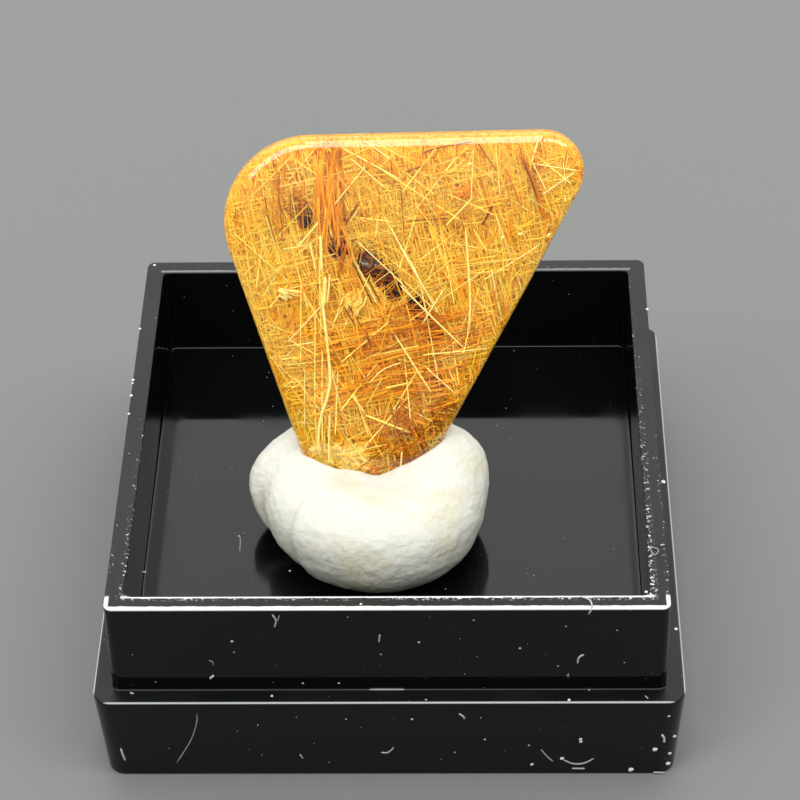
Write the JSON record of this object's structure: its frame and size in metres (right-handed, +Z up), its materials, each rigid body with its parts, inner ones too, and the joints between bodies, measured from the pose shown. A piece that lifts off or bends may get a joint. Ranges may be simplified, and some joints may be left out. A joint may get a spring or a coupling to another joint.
{
  "type": "rutilated quartz specimen on its stand",
  "caption": "Polished slab of rutilated quartz leaning back in a lump of white mounting putty, on the black open tray of a small display-box base.",
  "frame": {"origin": "centre of the base's footprint, on the surface it stands on", "axes": "+Z up; -Y the way the stone's viewed face looks; +X to the viewer's right"},
  "size_m": [0.032, 0.032, 0.029],
  "materials": {
    "quartz": "polished",
    "putty": "satin",
    "tray": "gloss",
    "rutile": "satin",
    "lint": "matte"
  },
  "bodies": {
    "root": {"quartz": "quartz", "putty": "putty", "tray": "tray"}
  },
  "joints": []
}
